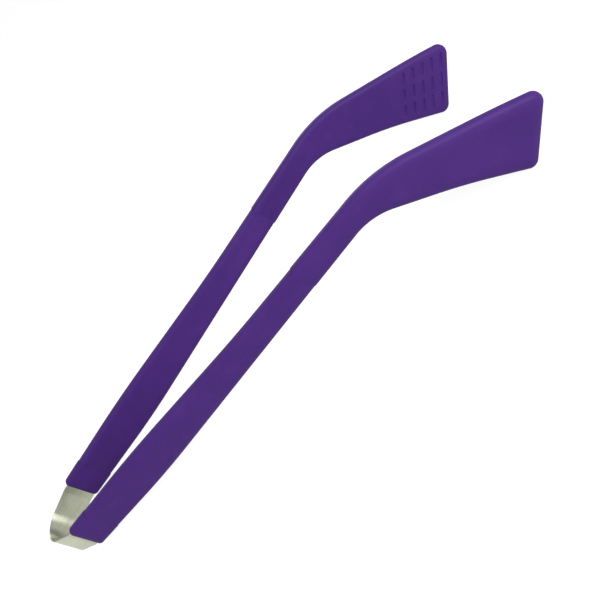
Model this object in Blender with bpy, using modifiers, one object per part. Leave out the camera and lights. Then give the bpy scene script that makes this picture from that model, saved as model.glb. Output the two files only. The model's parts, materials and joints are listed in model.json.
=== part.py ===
"""Spring-loaded kitchen tongs, 12 inch size.

Two flat arms face each other like tweezers. Each arm is a stiff nylon core with a dog-leg jaw, clad
in three silicone mouldings: an end collar, a grip sleeve and a jaw sleeve. A U-bent strip of spring
steel joins the arms: its legs lie in pockets of the cores, and two flush rivets hold each leg.

The pieces are drawn in the plane of their arm, x along the arm from the collar's end, y across it
towards the edge opposite the jaws, and z through its thickness. The tongs' own frame has x from the
spring to the jaws, y to the left and z up along the bow's width. An empty then tips the tongs onto
the three places they rest on: the bottom edge of the bow and the lower corners of the jaws.
"""

import math

import bmesh
import bpy
from mathutils import Matrix, Vector

# Handle outline, as the grip sleeve has it. The places are along the arm from the collar's end. The
# widths are from the arm's middle line, at the corners where the straight edges would meet.
END_LOWER_WIDTH = 0.0080
END_UPPER_WIDTH = 0.0096
BELLY_AT = 0.0530
BELLY_LOWER_WIDTH = 0.0101
BELLY_UPPER_WIDTH = 0.0101
BELLY_LOWER_RADIUS = 0.490
BELLY_UPPER_RADIUS = 0.800
WAIST_AT = 0.130
WAIST_UPPER_WIDTH = 0.0067
WAIST_RADIUS = 0.800

# The bend to the jaw.
BEND_INNER_AT = 0.2054
BEND_OUTER_AT = 0.2198
BEND_LOWER_WIDTH = 0.0056
BEND_UPPER_WIDTH = 0.0065
BEND_INNER_RADIUS = 0.0267
BEND_OUTER_RADIUS = 0.0622

# The jaw. The slant is how far the tip edge leans from square to the jaw. The lower edge is hollowed and
# the upper edge is crowned, each to a depth at a share of its length from the bend.
JAW_LENGTH = 0.0720
JAW_ANGLE = math.radians(34.3)
TIP_WIDTH = 0.0331
TIP_SLANT = math.radians(11.1)
TIP_LOWER_RADIUS = 0.0037
TIP_UPPER_RADIUS = 0.0044
HOLLOW_DEPTH = 0.0017
HOLLOW_SHARE = 0.55
HOLLOW_RADIUS = 0.240
CROWN_DEPTH = 0.0006
CROWN_SHARE = 0.75
CROWN_RADIUS = 0.525

# Silicone cladding. The collar and the jaw sleeve stand proud of the grip sleeve at their edges.
ARM_THICKNESS = 0.0060
EDGE_ROUNDING = 0.0020
COLLAR_LENGTH = 0.0134
COLLAR_PROUD = 0.00035
COLLAR_END_WALL = 0.0020
COLLAR_CORNER_RADIUS = 0.0021
JAW_SLEEVE_FROM = 0.1685
JAW_SLEEVE_PROUD = 0.00035

# Nylon core.
CORE_THICKNESS = 0.0033
CORE_RIM = 0.0022
CORE_CORNER_RADIUS = 0.0015

# Spring strip.
STRIP_THICKNESS = 0.0008
STRIP_WIDTH = 0.0156
STRIP_MIDDLE = 0.0005
TONGUE_WIDTH = 0.0096
TONGUE_SHOULDER = 0.0005
LEG_LENGTH = 0.0460
SHOULDER_AT = 0.0034
SHOULDER_RADIUS = 0.0050
BOW_SLOPE = math.radians(31)
BOW_RADIUS = 0.0116

# How the arms stand at rest: the middle of each arm's thickness at the collar's end, measured from
# the middle plane of the tongs, and the angle that each arm opens from that plane.
ARM_OFFSET = 0.01743
ARM_ANGLE = math.radians(5.06)

# Rivets.
RIVET_PLACES = (0.0140, 0.0360)
RIVET_SHANK_RADIUS = 0.0013
RIVET_HEAD_RADIUS = 0.0021
RIVET_HEAD_DEPTH = 0.0007

# Grip grooves in the inner face of each jaw, parallel to the tip edge.
GROOVE_ROWS = 5
GROOVES_PER_ROW = 3
GROOVE_FROM_TIP = 0.0040
GROOVE_PITCH = 0.0050
GROOVE_WIDTH = 0.0010
GROOVE_DEPTH = 0.0005
GROOVE_BRIDGE = 0.0020
GROOVE_MARGIN = 0.0033

# Touching pieces keep this gap.
GAP = 0.0003

# A place past the tip, for outlines that run to it.
BEYOND_TIP = 1.0

# Facets.
SWEEP_STEPS = 6
BEND_STEPS = 8
CORNER_STEPS = 4
BOW_STEPS = 14
TURN_STEPS = 20
ROUNDING_STEPS = 3

PURPLE = (0.075, 0.028, 0.195, 1.0)
DARK_NYLON = (0.030, 0.030, 0.033, 1.0)
STEEL = (0.560, 0.570, 0.500, 1.0)

RIGHT = 1
LEFT = -1


def clear_scene():
    for thing in list(bpy.data.objects):
        bpy.data.objects.remove(thing, do_unlink=True)


def new_collection(name):
    collection = bpy.data.collections.new(name)
    bpy.context.scene.collection.children.link(collection)
    return collection


def new_material(name, colour, roughness, metallic=0.0):
    material = bpy.data.materials.new(name)
    material.use_nodes = True
    shader = material.node_tree.nodes["Principled BSDF"]
    shader.inputs["Base Color"].default_value = colour
    shader.inputs["Roughness"].default_value = roughness
    shader.inputs["Metallic"].default_value = metallic
    material.diffuse_color = colour
    return material


def jaw_corners():
    """The corners of the jaw: inner bend, hollow, tip lower, tip upper, crown, outer bend."""
    inner = Vector((BEND_INNER_AT, -BEND_LOWER_WIDTH))
    outer = Vector((BEND_OUTER_AT, BEND_UPPER_WIDTH))
    tip_middle = (inner + outer) / 2 + JAW_LENGTH * Vector((math.cos(JAW_ANGLE), -math.sin(JAW_ANGLE)))
    edge_angle = math.pi / 2 - JAW_ANGLE - TIP_SLANT
    half_tip = TIP_WIDTH / 2 * Vector((math.cos(edge_angle), math.sin(edge_angle)))
    lower, upper = tip_middle - half_tip, tip_middle + half_tip
    across_lower = (lower - inner).normalized().orthogonal()
    across_upper = (upper - outer).normalized().orthogonal()
    hollow = inner.lerp(lower, HOLLOW_SHARE) + HOLLOW_DEPTH * across_lower
    crown = outer.lerp(upper, CROWN_SHARE) + CROWN_DEPTH * across_upper
    return inner, hollow, lower, upper, crown, outer


def crossing(start_a, along_a, start_b, along_b):
    """Where two straight lines of the plane cross."""
    turn = along_a.x * along_b.y - along_a.y * along_b.x
    reach = start_b - start_a
    return start_a + along_a * ((reach.x * along_b.y - reach.y * along_b.x) / turn)


def inset(corners, depth):
    """Each side of a counter-clockwise outline moved inwards by depth (outwards if it is negative)."""
    count = len(corners)
    sides = []
    for index, corner in enumerate(corners):
        along = (corners[(index + 1) % count] - corner).normalized()
        sides.append((corner + depth * Vector((-along.y, along.x)), along))
    return [crossing(*sides[index - 1], *sides[index]) for index in range(count)]


def fillet(before, corner, after, radius, steps):
    """The points of an arc that rounds a corner."""
    to_before = (before - corner).normalized()
    to_after = (after - corner).normalized()
    half_angle = to_before.angle(to_after) / 2
    middle = corner + (to_before + to_after).normalized() * radius / math.sin(half_angle)
    start = corner + to_before * radius / math.tan(half_angle) - middle
    sweep = start.angle_signed(corner + to_after * radius / math.tan(half_angle) - middle)
    turned = []
    for step in range(steps + 1):
        angle = -sweep * step / steps
        across = Vector((-start.y, start.x))
        turned.append(middle + start * math.cos(angle) + across * math.sin(angle))
    return turned


def rounded(corners, radii, steps):
    """An outline with each corner rounded to its radius. A radius of 0 leaves the corner sharp."""
    count = len(corners)
    points = []
    for index, corner in enumerate(corners):
        if radii[index] > 0:
            after = corners[(index + 1) % count]
            points += fillet(corners[index - 1], corner, after, radii[index], steps[index])
        else:
            points.append(corner)
    return points


def arm_outline(depth):
    """The outline of a whole arm, inset by depth. The collar's end, at 0, isn't inset."""
    inner, hollow, lower, upper, crown, outer = jaw_corners()
    corners = [
        (Vector((0, -END_LOWER_WIDTH)), 0, 0),
        (Vector((BELLY_AT, -BELLY_LOWER_WIDTH)), BELLY_LOWER_RADIUS - depth, SWEEP_STEPS),
        (inner, BEND_INNER_RADIUS + depth, BEND_STEPS),
        (hollow, HOLLOW_RADIUS + depth, SWEEP_STEPS),
        (lower, max(TIP_LOWER_RADIUS - depth, CORE_CORNER_RADIUS), CORNER_STEPS),
        (upper, max(TIP_UPPER_RADIUS - depth, CORE_CORNER_RADIUS), CORNER_STEPS),
        (crown, CROWN_RADIUS - depth, SWEEP_STEPS),
        (outer, BEND_OUTER_RADIUS - depth, BEND_STEPS),
        (Vector((WAIST_AT, WAIST_UPPER_WIDTH)), WAIST_RADIUS + depth, SWEEP_STEPS),
        (Vector((BELLY_AT, BELLY_UPPER_WIDTH)), BELLY_UPPER_RADIUS - depth, SWEEP_STEPS),
        (Vector((0, END_UPPER_WIDTH)), 0, 0),
    ]
    places, radii, steps = zip(*corners)
    moved = inset(places, depth)
    moved[0].x = 0
    moved[-1].x = 0
    return rounded(moved, radii, steps)


def between(outline, start, end):
    """The part of an outline between two places along the arm."""
    for place, side in ((start, 1), (end, -1)):
        kept = []
        for index, point in enumerate(outline):
            before = outline[index - 1]
            if (point.x - place) * (before.x - place) < 0:
                kept.append(before.lerp(point, (place - before.x) / (point.x - before.x)))
            if side * (point.x - place) >= 0:
                kept.append(point)
        outline = kept
    return outline


def plate(name, outline, low, high):
    """A flat solid of this outline between the heights low and high, with flat undivided faces."""
    curve = bpy.data.curves.new(name, "CURVE")
    curve.dimensions = "2D"
    curve.fill_mode = "BOTH"
    curve.extrude = abs(high - low) / 2
    spline = curve.splines.new("POLY")
    spline.points.add(len(outline) - 1)
    for point, place in zip(spline.points, outline):
        point.co = (place.x, place.y, 0, 1)
    spline.use_cyclic_u = True
    guide = bpy.data.objects.new(name, curve)
    bpy.context.scene.collection.objects.link(guide)
    graph = bpy.context.evaluated_depsgraph_get()
    mesh = bpy.data.meshes.new_from_object(guide.evaluated_get(graph))
    bpy.data.objects.remove(guide, do_unlink=True)
    bpy.data.curves.remove(curve)
    mesh.name = name
    form = bmesh.new()
    form.from_mesh(mesh)
    bmesh.ops.remove_doubles(form, verts=form.verts, dist=1e-6)
    bmesh.ops.dissolve_limit(form, angle_limit=math.radians(0.5), verts=form.verts, edges=form.edges)
    bmesh.ops.translate(form, verts=form.verts, vec=(0, 0, (low + high) / 2))
    bmesh.ops.recalc_face_normals(form, faces=form.faces)
    form.to_mesh(mesh)
    form.free()
    return mesh


def round_rims(mesh, width, open_ends):
    """Rounds the rims of a plate, apart from those at the places x in open_ends, which butt."""
    form = bmesh.new()
    form.from_mesh(mesh)
    rims = []
    for edge in form.edges:
        ends = [vert.co for vert in edge.verts]
        flat = abs(ends[0].z - ends[1].z) < 1e-6
        butts = any(all(abs(end.x - place) < 1e-6 for end in ends) for place in open_ends)
        if flat and not butts:
            rims.append(edge)
    bmesh.ops.bevel(
        form,
        geom=rims,
        offset=width,
        offset_type="OFFSET",
        affect="EDGES",
        segments=ROUNDING_STEPS,
        profile=0.5,
        material=-1,
        clamp_overlap=True,
    )
    form.to_mesh(mesh)
    form.free()


def box(name, low, high):
    """A box between two opposite corners."""
    form = bmesh.new()
    bmesh.ops.create_cube(form, size=1.0)
    low, high = Vector(low), Vector(high)
    bmesh.ops.scale(form, verts=form.verts, vec=high - low)
    bmesh.ops.translate(form, verts=form.verts, vec=(low + high) / 2)
    mesh = bpy.data.meshes.new(name)
    form.to_mesh(mesh)
    form.free()
    return mesh


def cut(solid, cutter_mesh, cutters):
    """Takes a cutter, given in the solid's own axes, away from it."""
    cutter = bpy.data.objects.new(f"{solid.name}_{cutter_mesh.name}", cutter_mesh)
    cutters.objects.link(cutter)
    cutter.parent = solid
    cutter.hide_render = True
    cutter.display_type = "WIRE"
    boolean = solid.modifiers.new(cutter_mesh.name, "BOOLEAN")
    boolean.operation = "DIFFERENCE"
    boolean.solver = "EXACT"
    boolean.object = cutter


def smooth(mesh):
    mesh.shade_smooth()
    mesh.set_sharp_from_angle(angle=math.radians(35))


def rivet_heights():
    """The heights of a rivet's two flush ends above the middle of its arm's thickness, outwards."""
    return -CORE_THICKNESS / 2, CORE_THICKNESS / 2


def rivet_mesh(name, grown):
    """A flush rivet, turned about z: a shank with a countersunk head at both ends.

    grown widens and lengthens it, for the hole that it sits in.
    """
    low, high = rivet_heights()
    low -= grown
    high += grown
    head = RIVET_HEAD_RADIUS + grown
    shank = RIVET_SHANK_RADIUS + grown
    sink = RIVET_HEAD_DEPTH + grown
    profile = [(0, high), (head, high), (shank, high - sink), (shank, low + sink), (head, low), (0, low)]
    form = bmesh.new()
    verts = [form.verts.new((radius, 0, height)) for radius, height in profile]
    edges = [form.edges.new(pair) for pair in zip(verts, verts[1:])]
    bmesh.ops.spin(
        form,
        geom=verts + edges,
        cent=(0, 0, 0),
        axis=(0, 0, 1),
        angle=2 * math.pi,
        steps=TURN_STEPS,
        use_merge=True,
        use_duplicate=False,
    )
    bmesh.ops.remove_doubles(form, verts=form.verts, dist=1e-6)
    bmesh.ops.recalc_face_normals(form, faces=form.faces)
    mesh = bpy.data.meshes.new(name)
    form.to_mesh(mesh)
    form.free()
    return mesh


def leg_height():
    """The height of the spring leg's middle above the middle of its arm's thickness, outwards.

    The leg lies in a pocket of the core, flush with the core's inner face.
    """
    return STRIP_THICKNESS / 2 - CORE_THICKNESS / 2


def strip_edges(width):
    """The heights of the strip's two edges across the arm, for its width at a place."""
    return STRIP_MIDDLE - width / 2, STRIP_MIDDLE + width / 2


def leg_point(along):
    """The leg's middle line at a place along the arm, as (x, distance from the middle plane)."""
    direction = Vector((math.cos(ARM_ANGLE), math.sin(ARM_ANGLE)))
    out = Vector((-direction.y, direction.x))
    return Vector((0, ARM_OFFSET)) + leg_height() * out + along * direction


def bow_line():
    """The right half of the bow's middle line, from the collar's end to the apex.

    The leg turns in at a soft shoulder, runs straight at the bow's slope, and meets an arc about the
    middle plane. Each point is (x, distance from the middle plane).
    """
    shoulder = leg_point(-SHOULDER_AT)
    sin, cos = math.sin(BOW_SLOPE), math.cos(BOW_SLOPE)
    centre = shoulder.x - (shoulder.y * cos - BOW_RADIUS) / sin
    meets = Vector((centre - BOW_RADIUS * sin, BOW_RADIUS * cos))
    line = [leg_point(0)] + fillet(leg_point(0), shoulder, meets, SHOULDER_RADIUS, CORNER_STEPS)
    first = math.pi / 2 + BOW_SLOPE
    for step in range(BOW_STEPS + 1):
        angle = first + (math.pi - first) * step / BOW_STEPS
        line.append(Vector((centre + BOW_RADIUS * math.cos(angle), BOW_RADIUS * math.sin(angle))))
    return line


def strip_path():
    """The right half of the spring strip's path, from the leg's end to the apex of the bow.

    Each point is (x, distance from the middle plane, the strip's width there).
    """
    shoulder = COLLAR_END_WALL - GAP
    path = [
        (*leg_point(LEG_LENGTH), TONGUE_WIDTH),
        (*leg_point(shoulder + TONGUE_SHOULDER), TONGUE_WIDTH),
        (*leg_point(shoulder), STRIP_WIDTH),
    ]
    return path + [(x, y, STRIP_WIDTH) for x, y in bow_line()[1:]]


def pivot_place():
    """Where the right arm turns as the bow bends: the centroid of its half of the bow.

    Returns x and the distance from the middle plane.
    """
    line = bow_line()
    total = Vector((0, 0))
    length = 0
    for before, after in zip(line, line[1:]):
        run = (after - before).length
        total += run * (before + after) / 2
        length += run
    return total / length


def arm_axes(side):
    """The matrix from an arm's plane to the tongs' frame. z points outwards on the right arm only."""
    cos, sin = math.cos(ARM_ANGLE), math.sin(ARM_ANGLE)
    along = Vector((cos, -side * sin, 0))
    across = Vector((0, 0, 1))
    matrix = Matrix((along, across, along.cross(across))).transposed().to_4x4()
    matrix.translation = Vector((0, -side * ARM_OFFSET, 0))
    return matrix


def span(side, low, high):
    """Two heights outwards from the arm's middle, as heights along the arm's z, lower first."""
    return sorted((side * low, side * high))


class Tongs:
    def __init__(self):
        self.parts = new_collection("kitchen_tongs")
        self.cutters = new_collection("cutters")
        self.silicone = new_material("purple_silicone", PURPLE, 0.50)
        self.nylon = new_material("black_nylon", DARK_NYLON, 0.45)
        self.steel = new_material("spring_steel", STEEL, 0.30, 1.0)
        self.rest = self.new_empty("rest_axes", None, Vector())

    def new_empty(self, name, parent, place):
        empty = bpy.data.objects.new(name, None)
        empty.empty_display_size = 0.01
        empty.location = place
        empty.parent = parent
        self.parts.objects.link(empty)
        return empty

    def node(self, name, mesh, material, parent, matrix):
        solid = bpy.data.objects.new(name, mesh)
        mesh.name = name
        mesh.materials.append(material)
        solid.parent = parent
        solid.matrix_local = matrix
        self.parts.objects.link(solid)
        return solid

    def build_spring(self):
        """The U-bent strip with a tongue in each arm, as an open surface with Solidify."""
        right = strip_path()
        path = [(x, -y, width) for x, y, width in right] + right[-2::-1]
        form = bmesh.new()
        rows = [[form.verts.new((x, y, edge)) for edge in strip_edges(width)] for x, y, width in path]
        for before, after in zip(rows, rows[1:]):
            form.faces.new((before[0], before[1], after[1], after[0]))
        bmesh.ops.recalc_face_normals(form, faces=form.faces)
        mesh = bpy.data.meshes.new("spring_strip")
        form.to_mesh(mesh)
        form.free()
        strip = self.node("spring_strip", mesh, self.steel, self.rest, Matrix())
        smooth(mesh)
        solidify = strip.modifiers.new("thickness", "SOLIDIFY")
        solidify.thickness = STRIP_THICKNESS
        solidify.offset = 0
        solidify.use_even_offset = True
        for side, side_name in ((RIGHT, "right"), (LEFT, "left")):
            for number, place in enumerate(RIVET_PLACES, 1):
                hole = rivet_mesh(f"{side_name}_hole_{number}", GAP)
                hole.transform(arm_axes(side) @ Matrix.Translation((place, STRIP_MIDDLE, 0)))
                cut(strip, hole, self.cutters)

    def build_core(self, name, side, pivot, matrix):
        """The stiff plate inside the cladding, with an open pocket for the spring leg."""
        start = COLLAR_END_WALL + GAP
        low, high = span(side, -CORE_THICKNESS / 2, CORE_THICKNESS / 2)
        mesh = plate(name, between(arm_outline(CORE_RIM), start, BEYOND_TIP), low, high)
        core = self.node(name, mesh, self.nylon, pivot, matrix)
        floor = leg_height() + STRIP_THICKNESS / 2 + GAP
        low, high = span(side, floor, -CORE_THICKNESS)
        bottom, top = strip_edges(TONGUE_WIDTH + 2 * GAP)
        pocket = box("leg_pocket", (start - GAP, bottom, low), (LEG_LENGTH + GAP, top, high))
        cut(core, pocket, self.cutters)
        for number, place in enumerate(RIVET_PLACES, 1):
            hole = rivet_mesh(f"hole_{number}", GAP)
            hole.transform(Matrix.Translation((place, STRIP_MIDDLE, 0)))
            cut(core, hole, self.cutters)

    def hollow(self, solid, start, end, side):
        """Takes the room for the core out of a piece of cladding, between two places along the arm."""
        half = CORE_THICKNESS / 2 + GAP
        low, high = span(side, -half, half)
        room = plate("core_room", between(arm_outline(CORE_RIM - GAP), start, end), low, high)
        cut(solid, room, self.cutters)

    def build_collar(self, name, side, pivot, matrix):
        """The moulded collar over the core's end, with a slot for the spring strip in its end wall."""
        half = ARM_THICKNESS / 2
        corners = between(arm_outline(-COLLAR_PROUD), 0, COLLAR_LENGTH)
        radii = [COLLAR_CORNER_RADIUS if corner.x == 0 else 0 for corner in corners]
        mesh = plate(name, rounded(corners, radii, [CORNER_STEPS] * len(corners)), -half, half)
        round_rims(mesh, EDGE_ROUNDING, (COLLAR_LENGTH,))
        smooth(mesh)
        collar = self.node(name, mesh, self.silicone, pivot, matrix)
        self.hollow(collar, COLLAR_END_WALL, COLLAR_LENGTH + GAP, side)
        bottom, top = strip_edges(STRIP_WIDTH + 2 * GAP)
        leg_half = STRIP_THICKNESS / 2 + GAP
        low, high = span(side, leg_height() - leg_half, leg_height() + leg_half)
        slot = box("strip_slot", (-GAP, bottom, low), (COLLAR_END_WALL + GAP, top, high))
        cut(collar, slot, self.cutters)

    def build_grip(self, name, side, pivot, matrix):
        """The sleeve over the straight handle."""
        start, end = COLLAR_LENGTH + GAP, JAW_SLEEVE_FROM - GAP
        half = ARM_THICKNESS / 2
        mesh = plate(name, between(arm_outline(0), start, end), -half, half)
        round_rims(mesh, EDGE_ROUNDING, (start, end))
        smooth(mesh)
        grip = self.node(name, mesh, self.silicone, pivot, matrix)
        self.hollow(grip, start - GAP, end + GAP, side)

    def build_jaw(self, name, side, pivot, matrix):
        """The sleeve over the neck and the jaw, closed at the tip, with grooves in its inner face."""
        half = ARM_THICKNESS / 2
        outline = between(arm_outline(-JAW_SLEEVE_PROUD), JAW_SLEEVE_FROM, BEYOND_TIP)
        mesh = plate(name, outline, -half, half)
        round_rims(mesh, EDGE_ROUNDING, (JAW_SLEEVE_FROM,))
        smooth(mesh)
        jaw = self.node(name, mesh, self.silicone, pivot, matrix)
        self.hollow(jaw, JAW_SLEEVE_FROM - GAP, BEYOND_TIP, side)
        cut(jaw, self.groove_cutter(side, half), self.cutters)

    def groove_cutter(self, side, half):
        """All the grip grooves of one jaw: rows parallel to the tip edge, each cut by bridges."""
        _, hollow, lower, upper, crown, _ = jaw_corners()
        edge = (upper - lower).normalized()
        back = Vector((-edge.y, edge.x))
        low, high = span(side, GROOVE_DEPTH - half, -half - GROOVE_DEPTH)
        form = bmesh.new()
        for row in range(GROOVE_ROWS):
            start = lower + back * (GROOVE_FROM_TIP + row * GROOVE_PITCH)
            bottom = crossing(start, edge, lower, (hollow - lower).normalized()) + edge * GROOVE_MARGIN
            top = crossing(start, edge, upper, (crown - upper).normalized()) - edge * GROOVE_MARGIN
            run = (top - bottom).length - (GROOVES_PER_ROW - 1) * GROOVE_BRIDGE
            length = run / GROOVES_PER_ROW
            for number in range(GROOVES_PER_ROW):
                middle = bottom + edge * (length / 2 + number * (length + GROOVE_BRIDGE))
                made = bmesh.ops.create_cube(form, size=1.0)
                bmesh.ops.scale(form, verts=made["verts"], vec=(length, GROOVE_WIDTH, high - low))
                turn = Matrix.Rotation(math.atan2(edge.y, edge.x), 4, "Z")
                bmesh.ops.transform(form, verts=made["verts"], matrix=turn)
                bmesh.ops.translate(form, verts=made["verts"], vec=(*middle, (low + high) / 2))
        mesh = bpy.data.meshes.new("grip_grooves")
        form.to_mesh(mesh)
        form.free()
        return mesh

    def build_arm(self, side, side_name):
        x, away = pivot_place()
        place = Vector((x, -side * away, 0))
        pivot = self.new_empty(f"{side_name}_arm_pivot", self.rest, place)
        matrix = Matrix.Translation(-place) @ arm_axes(side)
        self.build_core(f"{side_name}_arm_core", side, pivot, matrix)
        self.build_collar(f"{side_name}_end_collar", side, pivot, matrix)
        self.build_grip(f"{side_name}_grip_sleeve", side, pivot, matrix)
        self.build_jaw(f"{side_name}_jaw_sleeve", side, pivot, matrix)
        for number, along in enumerate(RIVET_PLACES, 1):
            name = f"{side_name}_leg_rivet_{number}"
            mesh = rivet_mesh(name, 0)
            smooth(mesh)
            self.node(name, mesh, self.steel, pivot, matrix @ Matrix.Translation((along, STRIP_MIDDLE, 0)))

    def points(self):
        """Every corner of every solid, in world space."""
        bpy.context.view_layer.update()
        graph = bpy.context.evaluated_depsgraph_get()
        places = []
        for solid in self.parts.objects:
            if solid.type == "MESH":
                shown = solid.evaluated_get(graph)
                mesh = shown.to_mesh()
                places += [shown.matrix_world @ vert.co for vert in mesh.vertices]
                shown.to_mesh_clear()
        return places

    def stand(self):
        """Tips the tongs about y until the bow and the jaws are equally low, then sets them down.

        The origin is then under the middle of their box, on the surface they stand on.
        """
        places = self.points()
        middle = sum(place.x for place in places) / len(places)
        level, steep = 0.0, math.radians(40)
        for _ in range(40):
            tilt = (level + steep) / 2
            heights = [(place.x, place.z * math.cos(tilt) + place.x * math.sin(tilt)) for place in places]
            bow = min(height for x, height in heights if x < middle)
            jaws = min(height for x, height in heights if x >= middle)
            if jaws < bow:
                level = tilt
            else:
                steep = tilt
        self.rest.rotation_euler = (0, -level, 0)
        places = self.points()
        low = [min(place[axis] for place in places) for axis in range(3)]
        high = [max(place[axis] for place in places) for axis in range(3)]
        self.rest.location = (-(low[0] + high[0]) / 2, -(low[1] + high[1]) / 2, -low[2])
        bpy.context.view_layer.update()


def main():
    clear_scene()
    tongs = Tongs()
    tongs.build_spring()
    tongs.build_arm(RIGHT, "right")
    tongs.build_arm(LEFT, "left")
    tongs.stand()


main()
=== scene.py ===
import json
import logging
import math
from dataclasses import dataclass, field, replace
from enum import Enum

import bmesh
import bpy
from mathutils import Matrix, Vector


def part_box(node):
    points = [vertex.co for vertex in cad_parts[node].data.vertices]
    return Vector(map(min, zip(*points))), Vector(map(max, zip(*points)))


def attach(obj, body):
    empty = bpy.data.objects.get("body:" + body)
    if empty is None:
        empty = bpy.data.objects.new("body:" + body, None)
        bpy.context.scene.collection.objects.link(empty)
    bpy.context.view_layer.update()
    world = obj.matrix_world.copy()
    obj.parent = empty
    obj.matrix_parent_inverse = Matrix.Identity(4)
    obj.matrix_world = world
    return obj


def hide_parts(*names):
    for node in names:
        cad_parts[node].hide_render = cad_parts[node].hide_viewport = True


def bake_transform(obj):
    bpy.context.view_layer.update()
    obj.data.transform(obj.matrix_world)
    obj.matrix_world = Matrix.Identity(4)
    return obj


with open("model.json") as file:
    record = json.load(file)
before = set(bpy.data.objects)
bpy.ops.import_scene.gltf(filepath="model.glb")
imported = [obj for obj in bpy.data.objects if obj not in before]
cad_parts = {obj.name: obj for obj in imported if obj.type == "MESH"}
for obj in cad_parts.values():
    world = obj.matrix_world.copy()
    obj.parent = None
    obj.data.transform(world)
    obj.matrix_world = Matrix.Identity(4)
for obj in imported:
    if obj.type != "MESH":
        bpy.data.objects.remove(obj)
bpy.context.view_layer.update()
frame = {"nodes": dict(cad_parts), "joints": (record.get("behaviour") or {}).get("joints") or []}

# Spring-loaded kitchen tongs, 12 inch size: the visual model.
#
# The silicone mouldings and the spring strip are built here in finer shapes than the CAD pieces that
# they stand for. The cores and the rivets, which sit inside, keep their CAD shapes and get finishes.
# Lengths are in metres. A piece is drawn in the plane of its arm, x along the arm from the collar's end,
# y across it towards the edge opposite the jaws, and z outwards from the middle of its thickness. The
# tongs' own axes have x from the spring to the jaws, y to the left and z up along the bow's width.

logging.basicConfig(level=logging.INFO, format="%(message)s")
log = logging.getLogger("tongs")

MM = 0.001

# A fillet never gets tighter than this radius, and two neighbouring fillets keep this much straight edge.
LEAST_RADIUS = 0.3 * MM
LEAST_STRAIGHT = 0.1 * MM

# Vertices closer than the first distance are one. Edges shorter than the second one are dissolved.
SAME_PLACE = 0.002 * MM
LEAST_EDGE = 0.01 * MM


class Side(Enum):
    """The two arms. The value is 1 for the arm on the -y side and -1 for its mirror image."""

    RIGHT = 1
    LEFT = -1

    @property
    def word(self) -> str:
        """The word that names of this side's pieces start with."""
        return self.name.lower()


class Slot(Enum):
    """The record's material slots."""

    SILICONE = "purple_silicone"
    NYLON = "black_nylon"
    STEEL = "spring_steel"


class Edge(Enum):
    """What a side of a moulding's outline is."""

    RIM = "a free edge with a rounded rim"
    BUTT = "an end that butts against the next moulding"


def linear(hex_colour: str) -> tuple[float, float, float, float]:
    """Turns an sRGB colour into linear light.

    Args:
        hex_colour: Six hex digits after a hash sign.

    Returns:
        Red, green, blue and an alpha of 1.
    """
    channels = []
    for start in (1, 3, 5):
        value = int(hex_colour[start : start + 2], 16) / 255
        channels.append(value / 12.92 if value <= 0.04045 else ((value + 0.055) / 1.055) ** 2.4)
    return (*channels, 1.0)


def add_node(tree: bpy.types.NodeTree, kind: str, inputs: dict | None = None, **settings) -> bpy.types.Node:
    """Adds one node to a tree.

    Args:
        tree: The node tree.
        kind: The node's type name without its ShaderNode prefix.
        inputs: A value, or an output socket to link from, for each input by name or number.
        **settings: The node's own properties.

    Returns:
        The node.
    """
    node = tree.nodes.new("ShaderNode" + kind)
    for name, value in settings.items():
        setattr(node, name, value)
    for name, value in (inputs or {}).items():
        if isinstance(value, bpy.types.NodeSocket):
            tree.links.new(value, node.inputs[name])
        else:
            node.inputs[name].default_value = value
    return node


def tint(tree: bpy.types.NodeTree, amount: bpy.types.NodeSocket, low: str, high: str) -> bpy.types.NodeSocket:
    """Blends two colours by a value from 0 to 1.

    Args:
        tree: The node tree.
        amount: The socket that gives the value.
        low: The sRGB colour at 0.
        high: The sRGB colour at 1.

    Returns:
        The blended colour's socket.
    """
    mix = add_node(tree, "Mix", {"Factor": amount}, data_type="RGBA")
    mix.inputs["A"].default_value = linear(low)
    mix.inputs["B"].default_value = linear(high)
    return mix.outputs["Result"]


def spread(
    tree: bpy.types.NodeTree,
    value: bpy.types.NodeSocket,
    bounds: tuple[float, float],
    to: tuple[float, float],
) -> bpy.types.NodeSocket:
    """Maps a range of values onto another one, clamped.

    Args:
        tree: The node tree.
        value: The socket that gives the value.
        bounds: The lowest and the highest value read.
        to: What those two become.

    Returns:
        The mapped value's socket.
    """
    inputs = {"Value": value, "From Min": bounds[0], "From Max": bounds[1], "To Min": to[0], "To Max": to[1]}
    return add_node(tree, "MapRange", inputs, clamp=True).outputs["Result"]


def dress(piece: bpy.types.Object, material: bpy.types.Material) -> None:
    """Gives a piece one material."""
    piece.data.materials.clear()
    piece.data.materials.append(material)


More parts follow.
